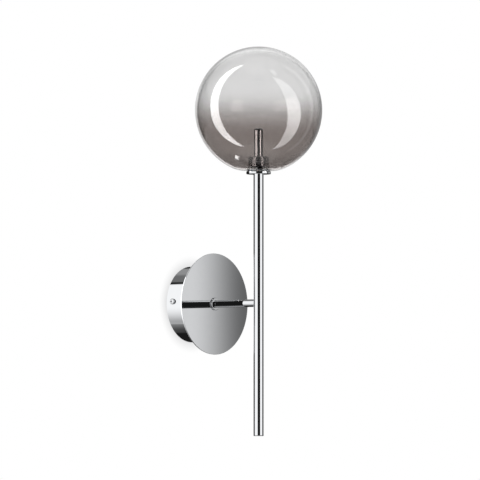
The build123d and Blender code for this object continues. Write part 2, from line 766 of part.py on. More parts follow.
# ---------------------------------------------------------------- post and LED ring
# The post screws on the insert's stud. Two side holes let the leads out to the board.
with BuildPart() as reflector_post:
    with BuildSketch(Plane.XY.offset(post_foot_z)):
        with Locations((0, rod_y)):
            Circle(post_radius)
    extrude(amount=post_top_z - post_foot_z)
    fillet(reflector_post.faces().sort_by(Axis.Z)[-1].edges(), radius=post_top_radius)
    with BuildSketch(Plane.XY.offset(post_foot_z)):
        with Locations((0, rod_y)):
            Circle(stud_hole_radius)
    extrude(amount=post_top_z - post_bore_end_wall - post_foot_z, mode=Mode.SUBTRACT)
    with BuildSketch(Plane.YZ):
        with Locations((rod_y, lead_exit_z)):
            Circle(lead_hole_diameter / 2)
    extrude(amount=post_diameter, both=True, mode=Mode.SUBTRACT)
reflector_post.part.label = "reflector_post"
export_step(reflector_post.part, "parts/reflector_post.step")

with BuildPart() as led_board:
    with BuildSketch(Plane.XY.offset(led_board_z)):
        with Locations((0, rod_y)):
            Circle(ring_outer_radius)
            Circle(ring_inner_radius, mode=Mode.SUBTRACT)
    extrude(amount=led_board_thickness)
led_board.part.label = "led_board"
export_step(led_board.part, "parts/led_board.step")

with BuildPart() as leds:
    with BuildSketch(Plane.XY.offset(led_board_top_z)):
        with Locations((0, rod_y)):
            with PolarLocations(led_circle_radius, led_count):
                Rectangle(led_radial_width, led_length)
    extrude(amount=led_height)
leds.part.label = "leds"
export_step(leds.part, "parts/leds.step")

with BuildPart() as diffuser_ring:
    with BuildSketch(rod_plane):
        with BuildLine():
            Polyline(
                (ring_inner_radius, diffuser_z),
                (ring_inner_radius, diffuser_z + diffuser_thickness),
                (ring_outer_radius, diffuser_z + diffuser_thickness),
                (ring_outer_radius, led_board_top_z),
                (ring_outer_radius - diffuser_skirt, led_board_top_z),
                (ring_outer_radius - diffuser_skirt, diffuser_z),
                close=True,
            )
        make_face()
    revolve(axis=rod_axis)
diffuser_ring.part.label = "diffuser_ring"
export_step(diffuser_ring.part, "parts/diffuser_ring.step")


# ---------------------------------------------------------------- gasket and globe
with BuildPart() as globe_gasket:
    with BuildSketch(Plane.XY.offset(gasket_z)):
        with Locations((0, rod_y)):
            Circle(flange_diameter / 2 - gasket_edge_setback)
            Circle(neck_bore_radius, mode=Mode.SUBTRACT)
    extrude(amount=gasket_thickness)
globe_gasket.part.label = "globe_gasket"
export_step(globe_gasket.part, "parts/globe_gasket.step")

# The glass is a sphere, flattened a little where it rests, with its neck turned
# inwards. Three moulded pips in the neck ride in the sleeve's thread.
with BuildPart() as glass_globe:
    with BuildSketch(rod_plane) as glass_section:
        with Locations((0, globe_z)):
            Circle(globe_radius)
        with Locations((0, glass_foot_z)):
            Rectangle(
                globe_diameter, globe_diameter,
                align=(Align.CENTER, Align.MAX), mode=Mode.SUBTRACT,
            )
        fillet(glass_section.vertices().group_by(Axis.Z)[0], radius=globe_foot_radius)
        offset(amount=-glass_thickness, mode=Mode.SUBTRACT)
        with Locations((0, glass_foot_z)):
            Rectangle(2 * neck_outer_radius, neck_height, align=(Align.CENTER, Align.MIN))
            Rectangle(
                2 * neck_bore_radius, neck_height,
                align=(Align.CENTER, Align.MIN), mode=Mode.SUBTRACT,
            )
        with Locations((0, globe_z)):
            Rectangle(
                globe_diameter, 2 * globe_diameter,
                align=(Align.MAX, Align.CENTER), mode=Mode.SUBTRACT,
            )
        neck_points = glass_section.vertices().filter_by_position(
            Axis.X, neck_bore_radius - 0.01, neck_outer_radius + 0.01
        )
        fillet(neck_points.group_by(Axis.Z)[-1], radius=neck_rim_radius)
        floor_corner = neck_points.sort_by(Axis.Z)[:-2].sort_by(Axis.X)[-1]
        fillet(floor_corner, radius=neck_fillet)
    revolve(axis=rod_axis)
    for i in range(pip_count):
        turn = i / pip_count
        pip_z = thread_start_z + thread_pitch * (0.5 + turn)
        way = Vector(cos(2 * pi * turn), sin(2 * pi * turn), 0)
        pip_plane = Plane(origin=(0, rod_y, pip_z), z_dir=way)
        with BuildSketch(pip_plane.offset(root_radius + pip_to_root)):
            Circle(pip_diameter / 2)
        extrude(amount=neck_outer_radius - root_radius - pip_to_root - neck_wall / 2)
glass_globe.part.label = "glass_globe"
export_step(glass_globe.part, "parts/glass_globe.step")


# ---------------------------------------------------------------- leads
def lead_route(points, radii):
    """A lead's path: straight runs joined by tangent arcs of the given radii."""
    with BuildLine() as route:
        FilletPolyline(*points, radius=radii)
    return route.wire()


def swept_lead(path, diameter):
    """A round lead along its path."""
    with BuildPart() as lead:
        with BuildSketch(Plane(origin=path @ 0, z_dir=path % 0)):
            Circle(diameter / 2)
        sweep(path=path)
    print(f"lead {diameter} mm: length {path.length:.1f} mm, volume {lead.part.volume:.1f} mm3")
    return lead


mains_top_z = block_foot_z + (block_height - sleeve_length) / 2 + mains_lead_into_sleeve
mains_drop_z = block_foot_z - mains_lead_drop
mains_rise_z = driver_top_z + driver_lead_rise
mains_end_z = driver_top_z - driver_wall


def mains_route(pole_x, driver_x):
    """From a pole of the terminal block down into the driver's top."""
    points = [
        (pole_x, sleeve_y, mains_top_z),
        (pole_x, sleeve_y, mains_drop_z),
        (driver_x, driver_lead_y, mains_rise_z),
        (driver_x, driver_lead_y, mains_end_z),
    ]
    turn = Vector(0, 0, -1).get_angle(Vector(*points[2]) - Vector(*points[1]))
    radius = 0.45 * driver_lead_rise / tan(radians(turn / 2))
    return lead_route(points, [radius, radius])


live_lead = swept_lead(mains_route(pole_positions[0], live_lead_driver_x), mains_lead_diameter)
live_lead.part.label = "live_lead"
export_step(live_lead.part, "parts/live_lead.step")

neutral_lead = swept_lead(
    mains_route(pole_positions[1], neutral_lead_driver_x), mains_lead_diameter
)
neutral_lead.part.label = "neutral_lead"
export_step(neutral_lead.part, "parts/neutral_lead.step")

# The earth lead ends on the tag's tail.
tag_end_z = earth_z + earth_tag_tail_length
earth_lead_y = -tag_front - mains_lead_diameter / 2 - press_gap
earth_lead_foot_z = tag_end_z - mains_lead_into_sleeve
earth_points = [
    (pole_positions[-1], sleeve_y, mains_top_z),
    (pole_positions[-1], sleeve_y, mains_drop_z + mains_lead_diameter),
    (earth_x, earth_lead_y, tag_end_z + mains_lead_diameter),
    (earth_x, earth_lead_y, earth_lead_foot_z),
]
earth_lead = swept_lead(
    lead_route(earth_points, [2 * mains_lead_diameter, 2 * mains_lead_diameter]),
    mains_lead_diameter,
)
earth_lead.part.label = "earth_lead"
export_step(earth_lead.part, "parts/earth_lead.step")


def led_route(side):
    """From the LED board's underside down the rod, along the arm, into the driver."""
    x = side * led_lead_spacing / 2
    return lead_route(
        [
            (side * (led_circle_radius + led_lead_pad_overlap / 2), rod_y, lead_exit_z),
            (x, rod_y, lead_exit_z),
            (x, rod_y, 0),
            (x, led_lead_drop_y, 0),
            (x, led_lead_drop_y, driver_top_z - driver_wall),
        ],
        [led_lead_exit_radius, led_lead_corner_radius, led_lead_drop_radius],
    )


led_lead_positive = swept_lead(led_route(1), led_lead_diameter)
led_lead_positive.part.label = "led_lead_positive"
export_step(led_lead_positive.part, "parts/led_lead_positive.step")

led_lead_negative = swept_lead(led_route(-1), led_lead_diameter)
led_lead_negative.part.label = "led_lead_negative"
export_step(led_lead_negative.part, "parts/led_lead_negative.step")
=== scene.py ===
import bmesh
import bpy
import json
from math import cos, pi, radians, sin, tan
from mathutils import Matrix, Vector


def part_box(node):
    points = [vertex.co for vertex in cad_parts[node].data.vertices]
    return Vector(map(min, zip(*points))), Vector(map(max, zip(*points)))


# Globe wall sconce in metres. The wall is the plane y = 0, the lamp stands out towards
# -Y, the rod and the globe are upright, and the origin is where the arm meets the wall.

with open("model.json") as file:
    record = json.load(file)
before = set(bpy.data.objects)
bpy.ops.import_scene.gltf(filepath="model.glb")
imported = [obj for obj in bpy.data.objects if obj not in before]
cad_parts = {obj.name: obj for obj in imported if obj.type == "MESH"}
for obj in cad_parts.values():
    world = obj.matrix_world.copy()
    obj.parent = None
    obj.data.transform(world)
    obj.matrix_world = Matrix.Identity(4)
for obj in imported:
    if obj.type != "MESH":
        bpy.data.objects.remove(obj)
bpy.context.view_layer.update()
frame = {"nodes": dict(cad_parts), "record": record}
cad_nodes = frame["nodes"]


# ---------------------------------------------------------------- places taken from the frame
rod_low, rod_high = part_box("rod_tube")
rod_centre = (rod_low + rod_high) / 2
rod_x, rod_y = rod_centre.x, rod_centre.y
glass_low, glass_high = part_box("glass_globe")
globe_radius = (glass_high.x - glass_low.x) / 2
globe_centre = Vector((rod_x, rod_y, glass_high.z - globe_radius))
disc_low, disc_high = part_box("front_disc")
disc_centre = (disc_low + disc_high) / 2
post_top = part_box("reflector_post")[1].z


def bearing(azimuth, elevation=0.0):
    """The unit vector in that direction, from degrees.

    Azimuth 0 is straight out from the wall, and 90 is +X, the right seen from the room.
    """
    turn, lift = radians(azimuth), radians(elevation)
    return Vector((sin(turn) * cos(lift), -cos(turn) * cos(lift), sin(lift)))


# ---------------------------------------------------------------- shader maths
# The Light Path node counts bounces in whole numbers, and each of these is between two.
no_bounce = 0.5
one_bounce = 1.5
four_surfaces = 3.5


class Wire:
    """A node's output. Sums and comparisons of wires add Math nodes to their tree."""

    def __init__(self, tree, socket):
        self.tree = tree
        self.socket = socket

    def __add__(self, other):
        return self.tree.maths("ADD", self, other)

    def __radd__(self, other):
        return self.tree.maths("ADD", other, self)

    def __sub__(self, other):
        return self.tree.maths("SUBTRACT", self, other)

    def __rsub__(self, other):
        return self.tree.maths("SUBTRACT", other, self)

    def __mul__(self, other):
        return self.tree.maths("MULTIPLY", self, other)

    def __rmul__(self, other):
        return self.tree.maths("MULTIPLY", other, self)

    def __truediv__(self, other):
        return self.tree.maths("DIVIDE", self, other)

    def __rtruediv__(self, other):
        return self.tree.maths("DIVIDE", other, self)

    def __neg__(self):
        return self.tree.maths("MULTIPLY", self, -1.0)

    def __gt__(self, other):
        return self.tree.maths("GREATER_THAN", self, other)

    def __lt__(self, other):
        return self.tree.maths("LESS_THAN", self, other)


class Tree:
    """The node tree of a material, a lamp or the world, empty at first."""

    def __init__(self, owner):
        owner.use_nodes = True
        self.nodes = owner.node_tree.nodes
        self.links = owner.node_tree.links
        self.nodes.clear()

    def add(self, kind, settings=None, sockets=None, out=0):
        """One node: its settings first, then its sockets' values or links."""
        node = self.nodes.new("ShaderNode" + kind)
        for name, value in (settings or {}).items():
            setattr(node, name, value)
        for key, value in (sockets or {}).items():
            if isinstance(value, Wire):
                self.links.new(value.socket, node.inputs[key])
            else:
                node.inputs[key].default_value = value
        return Wire(self, node.outputs[out]) if node.outputs else node

    def maths(self, operation, *values):
        """A Math node of wires and numbers."""
        return self.add("Math", {"operation": operation}, dict(enumerate(values)))

    def mixed(self, factor, first, second):
        """A colour between two colours."""
        colours = [c if isinstance(c, Wire) else (*c, 1.0) for c in (first, second)]
        sockets = {"Factor": factor, 6: colours[0], 7: colours[1]}
        return self.add("Mix", {"data_type": "RGBA"}, sockets, out=2)

    def step(self, value, start, end, low=0.0, high=1.0):
        """A soft step from low to high, while value goes from start to end."""
        sockets = {
            "Value": value, "From Min": start, "From Max": end, "To Min": low, "To Max": high,
        }
        return self.add("MapRange", {"interpolation_type": "SMOOTHSTEP"}, sockets)

    def place(self):
        """Where a point of the piece is, in metres in the row's frame."""
        return self.add("TexCoord", out="Object")

    def split(self, vector):
        """The three parts of a vector."""
        node = self.nodes.new("ShaderNodeSeparateXYZ")
        self.links.new(vector.socket, node.inputs[0])
        return [Wire(self, socket) for socket in node.outputs]

    def length(self, first, second):
        """The length of a vector with those two parts."""
        return self.maths("SQRT", first * first + second * second)

    def dot(self, vector, way):
        """How far a vector goes that way."""
        return self.add("VectorMath", {"operation": "DOT_PRODUCT"}, {0: vector, 1: way}, out="Value")

    def bearings(self, vector):
        """The azimuth and the elevation of a vector, in degrees."""
        x, y, z = self.split(vector)
        azimuth = self.maths("ARCTAN2", x, -y) * (180 / pi)
        elevation = self.maths("ARCTAN2", z, self.length(x, y)) * (180 / pi)
        return azimuth, elevation

    def ray(self, fact):
        """One output of the Light Path node: the ray's kind, or a count of its bounces."""
        return self.add("LightPath", out=fact)

    def seen_straight(self):
        """1 for what the camera sees direct or through glass, 0 once a surface mirrors it."""
        unmirrored = self.ray("Glossy Depth") < no_bounce
        unscattered = self.ray("Diffuse Depth") < no_bounce
        through_glass = self.ray("Is Transmission Ray") * unmirrored * unscattered
        return self.maths("MAXIMUM", self.ray("Is Camera Ray"), through_glass)

    def noise(self, scale, detail=2.0, roughness=0.5, stretch=None):
        """Smooth noise, 0 to 1, with that many lumps to the metre."""
        point = self.place()
        if stretch:
            point = self.add("Mapping", {}, {"Vector": point, "Scale": stretch})
        sockets = {"Vector": point, "Scale": scale, "Detail": detail, "Roughness": roughness}
        return self.add("TexNoise", {"noise_dimensions": "3D"}, sockets)

    def bump(self, height, depth, strength):
        """A surface normal from a height of 0 to 1 that stands for depth in metres."""
        sockets = {"Height": height, "Distance": depth, "Strength": strength}
        return self.add("Bump", {}, sockets)

    def surface(self, **inputs):
        """The Principled shader, joined to the output. Names use _ for a space."""
        sockets = {}
        for name, value in inputs.items():
            is_colour = isinstance(value, tuple)
            sockets[name.replace("_", " ")] = (*value, 1.0) if is_colour else value
        shader = self.add("BsdfPrincipled", {}, sockets)
        self.add("OutputMaterial", {}, {"Surface": shader})


def material(name):
    """A new material and its tree."""
    made = bpy.data.materials.new(name)
    return made, Tree(made)


# ---------------------------------------------------------------- metals
def polished_chrome():
    """Mirror chrome plate with the faint waviness and hairlines that polishing leaves."""
    made, tree = material("polished_chrome")
    wave = tree.noise(scale=16.0, detail=1.0)
    haze = tree.noise(scale=160.0, detail=3.0)
    hairs = tree.noise(scale=900.0, detail=2.0, stretch=(1.0, 1.0, 0.06))
    wear = tree.step(hairs * haze, 0.30, 0.46)
    tree.surface(
        Base_Color=tree.mixed(haze, (0.80, 0.812, 0.83), (0.84, 0.85, 0.865)),
        Metallic=1.0,
        Roughness=0.008 + haze * 0.008 + wear * 0.012,
        Normal=tree.bump(wave, depth=0.00005, strength=0.3),
    )
    return made


def zinc_plate():
    """Bright zinc on pressed sheet: small crystals, rolling lines and a dull bloom."""
    made, tree = material("zinc_plate")
    crystals = {"Vector": tree.place(), "Scale": 520.0}
    cells = tree.add("TexVoronoi", {"feature": "F1"}, crystals, out="Color")
    grain = tree.split(cells)[0]
    lines = tree.noise(scale=700.0, detail=2.0, stretch=(0.04, 1.0, 1.0))
    bloom = tree.noise(scale=70.0, detail=4.0, roughness=0.6)
    tone = grain * 0.35 + lines * 0.25 + bloom * 0.4
    tree.surface(
        Base_Color=tree.mixed(tone, (0.50, 0.52, 0.54), (0.76, 0.77, 0.76)),
        Metallic=1.0,
        Roughness=0.24 + bloom * 0.22 + grain * 0.06,
        Normal=tree.bump(lines * 0.5 + grain * 0.5, depth=0.00004, strength=0.5),
    )
    return made


def turned_metal(name, dark, light, rough):
    """Metal from the lathe or the heading press, with fine tool lines."""
    made, tree = material(name)
    lines = tree.noise(scale=1500.0, detail=2.0, stretch=(1.0, 0.1, 1.0))
    stain = tree.noise(scale=190.0, detail=3.0, roughness=0.6)
    tree.surface(
        Base_Color=tree.mixed(lines * 0.4 + stain * 0.6, dark, light),
        Metallic=1.0,
        Roughness=rough + stain * 0.14,
        Normal=tree.bump(lines, depth=0.00002, strength=0.4),
    )
    return made


# ---------------------------------------------------------------- glass and soft pieces
clear_glass = (0.885, 0.884, 0.884)
smoke_colour = (0.462, 0.428, 0.414)
foot_shade = 0.87

# The smoke fades out over the first two heights, and is darkest under the last one.
smoke_from_z = 0.198
clear_from_z = 0.252
foot_above_z = 0.181
foot_below_z = 0.164

neck_radius = 0.0135
neck_fade = 0.0015
uneven_smoke = 0.004


def smoke_glass():
    """Blown glass whose smoke fades out between the foot and the upper half. Its neck is clear."""
    made, tree = material("smoke_glass_fade")
    x, y, z = tree.split(tree.place())
    from_axis = tree.length(x - rod_x, y - rod_y)
    in_neck = tree.step(from_axis, neck_radius + neck_fade, neck_radius)
    drift = tree.noise(scale=9.0, detail=1.0)
    height = z + (drift - 0.5) * uneven_smoke
    fade = tree.step(height, smoke_from_z, clear_from_z)
    clear = tree.maths("MAXIMUM", fade, in_neck)
    foot = tree.step(height, foot_above_z, foot_below_z)
    foot_colour = tuple(part * foot_shade for part in smoke_colour)
    smoke = tree.mixed(foot, smoke_colour, foot_colour)
    swirl = tree.noise(scale=14.0, detail=1.0)
    tree.surface(
        Base_Color=tree.mixed(clear, smoke, clear_glass),
        Roughness=0.0,
        Transmission_Weight=1.0,
        IOR=1.5,
        Normal=tree.bump(swirl, depth=0.00012, strength=0.4),
    )
    return made


def moulded(name, dark, light, rough, lump=260.0, depth=0.00003, **more):
    """A moulded or extruded piece: mottled a little, with a fine sand finish."""
    made, tree = material(name)
    mottle = tree.noise(scale=lump, detail=4.0, roughness=0.6)
    sand = tree.noise(scale=2600.0, detail=2.0)
    tree.surface(
        Base_Color=tree.mixed(mottle, dark, light),
        Roughness=rough + mottle * 0.14,
        Normal=tree.bump(sand, depth=depth, strength=0.35),
        **more,
    )
    return made


def circuit_board(name, mask_dark, mask_light, pad):
    """Solder mask over copper tracks, with rows of tinned pads."""
    made, tree = material(name)
    point = tree.place()
    rows = {
        "Vector": point, "Scale": 330.0, "Mortar Size": 0.012, "Brick Width": 1.6, "Row Height": 0.35,
    }
    tracks = tree.add("TexBrick", {"offset": 0.5}, rows, out="Fac")
    dots = {"Vector": point, "Scale": 300.0, "Randomness": 0.25}
    pads = tree.add("TexVoronoi", {"feature": "F1"}, dots, out="Distance") < 0.22
    mask = tree.mixed(tracks, mask_dark, mask_light)
    tree.surface(
        Base_Color=tree.mixed(pads, mask, pad),
        Metallic=pads * 0.8,
        Roughness=0.42 - pads * 0.12,
        Normal=tree.bump(tracks + pads, depth=0.00003, strength=0.4),
    )
    return made


def earth_insulation():
    """Green insulation with the yellow stripe that runs round an earth lead."""
    made, tree = material("lead_green_yellow")
    x, y, z = tree.split(tree.place())
    turn = tree.maths("FRACT", x * 380.0 + z * 420.0 + y * 300.0)
    stripe = tree.step(turn, 0.45, 0.52)
    mottle = tree.noise(scale=500.0, detail=2.0)
    tree.surface(
        Base_Color=tree.mixed(stripe, (0.03, 0.24, 0.06), (0.78, 0.66, 0.04)),
        Roughness=0.34 + mottle * 0.14,
        Coat_Weight=0.2,
    )
    return made


finishes = {
    "chrome": polished_chrome(),
    "zinc_steel": zinc_plate(),
    "brass": turned_metal("turned_brass", (0.60, 0.43, 0.17), (0.83, 0.66, 0.34), 0.22),
    "screw_steel": turned_metal("screw_zinc", (0.48, 0.49, 0.50), (0.70, 0.70, 0.69), 0.28),
    "smoke_glass": smoke_glass(),
    "silicone": moulded(
        "silicone_gasket", (0.66, 0.66, 0.64), (0.76, 0.76, 0.74), 0.46, Subsurface_Weight=0.2
    ),
    "black_rubber": moulded("black_rubber", (0.012, 0.012, 0.013), (0.035, 0.035, 0.036), 0.55),
    "white_nylon": moulded("white_nylon", (0.70, 0.70, 0.66), (0.80, 0.80, 0.77), 0.38),
    "driver_white": moulded("driver_white", (0.74, 0.74, 0.73), (0.82, 0.82, 0.81), 0.44),
    "foam_tape": moulded(
        "foam_tape", (0.62, 0.62, 0.58), (0.85, 0.85, 0.82), 0.85, lump=1400.0, depth=0.0002
    ),
    "board_green": circuit_board(
        "green_board", (0.008, 0.09, 0.035), (0.02, 0.17, 0.07), (0.72, 0.72, 0.70)
    ),
    "transformer_black": moulded("transformer_black", (0.02, 0.02, 0.02), (0.05, 0.05, 0.05), 0.4),
    "capacitor_aluminium": moulded(
        "capacitor_sleeve", (0.03, 0.035, 0.06), (0.06, 0.07, 0.11), 0.25, Coat_Weight=0.4
    ),
    "board_white": circuit_board(
        "white_board", (0.74, 0.74, 0.72), (0.84, 0.84, 0.82), (0.80, 0.78, 0.70)
    ),
    "led_yellow": moulded("led_phosphor", (0.80, 0.62, 0.10), (0.92, 0.78, 0.22), 0.4),
    "opal": moulded(
        "opal_diffuser", (0.82, 0.82, 0.80), (0.88, 0.88, 0.87), 0.32, Subsurface_Weight=0.25
    ),
    "lead_brown": moulded("brown_insulation", (0.10, 0.035, 0.012), (0.16, 0.06, 0.02), 0.3),
    "lead_blue": moulded("blue_insulation", (0.01, 0.06, 0.34), (0.02, 0.11, 0.48), 0.3),
    "lead_green_yellow": earth_insulation(),
    "lead_red": moulded("red_insulation", (0.36, 0.01, 0.01), (0.52, 0.025, 0.02), 0.3),
    "lead_black": moulded("black_insulation", (0.010, 0.010, 0.011), (0.03, 0.03, 0.03), 0.3),
}

for part in frame["record"]["subparts"]:
    for material_slot in cad_nodes[part["node"]].material_slots:
        material_slot.material = finishes[part["material_slot"]]


# ---------------------------------------------------------------- view
# The photograph looks at the lamp from its left and from a little below. The middle of
# the picture is left of the rod and above the arm.
view_azimuth = -49.5
view_elevation = -2.2
picture_width = 0.5652
left_of_rod = 0.0219
above_arm = 0.0742
lens_length = 400.0
sensor_width = 36.0

camera_data = bpy.data.cameras.new("view")
camera_data.lens = lens_length
camera_data.sensor_width = sensor_width
camera = bpy.data.objects.new("view", camera_data)
bpy.context.collection.objects.link(camera)
to_right = bearing(view_azimuth + 90.0)
to_camera = bearing(view_azimuth, view_elevation)
camera_distance = picture_width * lens_length / sensor_width
looked_at = Vector((rod_x, rod_y, above_arm)) - to_right * left_of_rod
camera.location = looked_at + to_camera * camera_distance
camera.rotation_mode = "QUATERNION"
camera.rotation_quaternion = (-to_camera).to_track_quat("-Z", "Y")
camera_data.clip_end = camera_distance * 4
bpy.context.scene.camera = camera


# ---------------------------------------------------------------- stage
wall_side = 3.0
# The wall's shade is painted: its emitted colour darkens within this reach of other pieces, down to
# this colour.
contact_reach = 0.014
painted_contact_shade = (0.52, 0.52, 0.53)
floor_depth = 0.75
floor_side = 8.0
upright = Vector((0.0, 0.0, 1.0))
into_wall = Vector((0.0, 1.0, 0.0))
white = (1.0, 1.0, 1.0)


def placed(x_way, y_way, z_way, place):
    """The matrix of a thing with those axes at that place."""
    matrix = Matrix((x_way, y_way, z_way)).transposed().to_4x4()
    matrix.translation = place
    return matrix


def stage_sheet(name, side, place, facing, up, paint):
    """A flat square sheet of the stage, which mirrors never show."""
    shape = bmesh.new()
    corners = [(-1, -1), (1, -1), (1, 1), (-1, 1)]
    shape.faces.new([shape.verts.new((a * side / 2, b * side / 2, 0.0)) for a, b in corners])
    mesh = bpy.data.meshes.new(name)
    shape.to_mesh(mesh)
    shape.free()
    mesh.materials.append(paint)
    sheet = bpy.data.objects.new(name, mesh)
    bpy.context.collection.objects.link(sheet)
    across = up.cross(facing)
    sheet.matrix_world = placed(across, facing.cross(across), facing, place)
    sheet.visible_glossy = False
    return sheet


def wall_paper():
    """White from the front, with painted shade where something stands on it; clear in mirrors."""
    made, tree = material("backdrop_white")
    # Painted shade: ambient occlusion mixes the emitted white towards the contact shade colour near
    # other pieces.
    openness = tree.add("AmbientOcclusion", {"samples": 16}, {"Distance": contact_reach}, out="AO")
    paper = tree.add("Emission", {}, {"Color": tree.mixed(openness, painted_contact_shade, white)})
    clear = tree.add("BsdfTransparent")
    behind = tree.add("NewGeometry", out="Backfacing")
    hidden = tree.maths("MAXIMUM", behind, 1.0 - tree.seen_straight())
    sides = tree.add("MixShader", {}, {0: hidden, 1: paper, 2: clear})
    tree.add("OutputMaterial", {}, {"Surface": sides})
    return made


def floor_paint():
    """Plain pale grey, nearly white."""
    made, tree = material("floor_pale")
    tree.surface(
        Base_Color=(0.86, 0.86, 0.86), Roughness=0.6, Emission_Color=white, Emission_Strength=0.3
    )
    return made


wall = stage_sheet("wall", wall_side, Vector(), -into_wall, upright, wall_paper())
wall.visible_diffuse = False
wall.visible_shadow = False
stage_sheet("floor", floor_side, -upright * floor_depth, upright, into_wall, floor_paint())


# ---------------------------------------------------------------- light
# Chrome and glass show the studio round them, so the studio is what is drawn here, as
# azimuths and elevations in degrees. The world holds the dim panels that every piece
# mirrors. The bright ones are area lights, and only the pieces linked to them mirror them.
glass_only = ["glass_globe"]
disc_and_collar = ["front_disc", "arm_collar"]
all_but_glass = [name for name in cad_nodes if name not in glass_only]
all_but_disc = [name for name in all_but_glass if name not in disc_and_collar]

# The rear panel leaves out the pieces whose bands it would change in the photograph's view.
left_out_of_rear = ["canopy", "canopy_screws", "rod_tube", "rod_end_cap", "arm_tube", "globe_flange"]
rear_pieces = [name for name in all_but_glass if name not in left_out_of_rear]

everywhere = (-400.0, 400.0)
dark_studio = 0.015
scattered_light = 0.9
dim_panels = [
    dict(azimuths=(32.0, 43.0), elevations=(-34.0, 62.0), glow=0.26, side=2.0, rise=(14.0, 8.0)),
    dict(azimuths=(56.0, 128.0), elevations=(-12.0, 62.0), glow=0.26, side=2.0, rise=(6.0, 8.0)),
    dict(azimuths=(61.0, 69.0), elevations=(-50.0, 60.0), glow=0.60, side=1.5, rise=(14.0, 14.0)),
    dict(azimuths=(128.0, 168.0), elevations=(28.0, 62.0), glow=0.38, side=8.0, rise=(6.0, 8.0)),
    dict(azimuths=(168.0, 400.0), elevations=(45.5, 62.0), glow=0.20, side=8.0, rise=(1.0, 8.0)),
    dict(azimuths=(-400.0, -140.0), elevations=(45.5, 62.0), glow=0.20, side=3.0, rise=(1.0, 8.0)),
    dict(azimuths=everywhere, elevations=(66.0, 200.0), glow=0.45, side=3.0, rise=(6.0, 6.0)),
    dict(azimuths=everywhere, elevations=(-200.0, -62.0), glow=0.50, side=3.0, rise=(6.0, 6.0)),
]


def between(tree, value, limits, softness):
    """1 between two limits and 0 outside them, with soft ends."""
    (low, high), (low_soft, high_soft) = limits, softness
    from_low = tree.step(value, low - low_soft, low + low_soft)
    return from_low * tree.step(value, high - high_soft, high + high_soft, 1.0, 0.0)


def panel(tree, azimuth, elevation, azimuths, elevations, glow, side, rise):
    """The light of a panel, whose edges are soft by side and by the two of rise."""
    across = between(tree, azimuth, azimuths, (side, side))
    return across * between(tree, elevation, elevations, rise) * glow


def studio():
    """Plain where the camera sees it straight or through glass, panels where it is mirrored.

    Its node keeps its own grey of 0.8, and so do the lamps' nodes: a glow of 1 is pale grey.
    """
    world = bpy.data.worlds.new("studio")
    bpy.context.scene.world = world
    tree = Tree(world)
    azimuth, elevation = tree.bearings(tree.add("TexCoord", out="Generated"))
    panels = dark_studio
    for place in dim_panels:
        panels = panel(tree, azimuth, elevation, **place) + panels
    seen = tree.seen_straight()
    scattered = tree.ray("Is Diffuse Ray")
    unseen = scattered * scattered_light + (1.0 - scattered) * panels
    background = tree.add("Background", {}, {"Strength": seen + (1.0 - seen) * unseen})
    tree.add("OutputWorld", {}, {"Surface": background})


def sheet_ways(facing):
    """The level way across a sheet that faces there, and the way up it."""
    across = upright.cross(facing).normalized()
    return across, facing.cross(across)


def lit_sheet(name, width, height, place, facing, shown_in):
    """The empty node tree of a new flat lamp, which only the named nodes mirror."""
    lamp = bpy.data.lights.new(name, "AREA")
    lamp.shape = "RECTANGLE"
    lamp.size = width
    lamp.size_y = height
    # With this power, an emission strength of 1 is as bright as the world's strength of 1.
    lamp.energy = pi * width * height
    sheet = bpy.data.objects.new(name, lamp)
    bpy.context.collection.objects.link(sheet)
    across, upward = sheet_ways(facing)
    sheet.matrix_world = placed(-across, upward, -facing, place)
    sheet.visible_camera = False
    sheet.visible_diffuse = False
    mirrors = bpy.data.collections.new(name)
    for node in shown_in:
        mirrors.objects.link(cad_nodes[node])
    sheet.light_linking.receiver_collection = mirrors
    return Tree(lamp)


def offsets(tree, place, facing):
    """How far across a sheet and up it a point is from its middle, in metres."""
    point = tree.add("NewGeometry", out="Position")
    return [tree.dot(point, way) - way.dot(place) for way in sheet_ways(facing)]


def give_light(tree, glow):
    """Light of that glow from a sheet."""
    light = tree.add("Emission", {}, {"Strength": glow})
    tree.add("OutputLight", {}, {"Surface": light})


def inside_globe(tree):
    """1 for rays through four surfaces of glass, as to a piece in the globe and out again."""
    return tree.ray("Transmission Depth") > four_surfaces


def give_glass_light(tree, glow):
    """Light that glass mirrors but never shows straight."""
    give_light(tree, glow * (tree.ray("Glossy Depth") > no_bounce))


strip_distance = 0.5
strip_edge = 0.005
strip_margin = 1.1

# Heights over the globe's middle, where a strip has its upper, waist and lower glow.
upper_height = 0.22
waist_height = -0.12
lower_height = -0.50


def globe_strip(name, azimuth, spread, elevations, glows, lean, tilt, belly=0.0):
    """A tall strip of light beside the globe, pointed at its ends, which shows as a crescent.

    lean bows the strip sideways and tilt slopes it, both in halves of its width. belly
    widens its upper part. glows are the upper, waist and lower glow.
    """
    out = bearing(azimuth)
    low, high = (strip_distance * tan(radians(elevation)) for elevation in elevations)
    half_width = strip_distance * tan(radians(spread / 2))
    half_height = (high - low) / 2
    middle_height = (low + high) / 2
    place = globe_centre + out * strip_distance + upright * middle_height
    width = 2 * half_width * (strip_margin + abs(lean) + abs(tilt))
    tree = lit_sheet(name, width, half_height * 2, place, -out, glass_only)
    along, up = offsets(tree, place, -out)
    share = up / half_height
    squared = share * share
    off_middle = tree.maths("ABSOLUTE", along - (squared * lean + share * tilt) * half_width)
    reach = (1.0 - squared) * (1.0 + share * belly) * half_width
    shape = tree.step(reach - off_middle, 0.0, strip_edge)
    upper, waist, lower = glows
    height = up + middle_height
    glow = upper + tree.step(height, upper_height, waist_height) * (waist - upper)
    glow = glow + tree.step(height, waist_height, lower_height) * (lower - waist)
    give_glass_light(tree, shape * glow * (1.0 - inside_globe(tree)))


def globe_spot(name, azimuth, elevation, distance, size, glow):
    """A small lamp, seen from the globe's middle at those bearings. size is width and height."""
    out = bearing(azimuth, elevation)
    tree = lit_sheet(name, *size, globe_centre + out * distance, -out, glass_only)
    give_glass_light(tree, glow * (1.0 - inside_globe(tree)))


post_sheet_distance = 0.17
above_post = 0.02


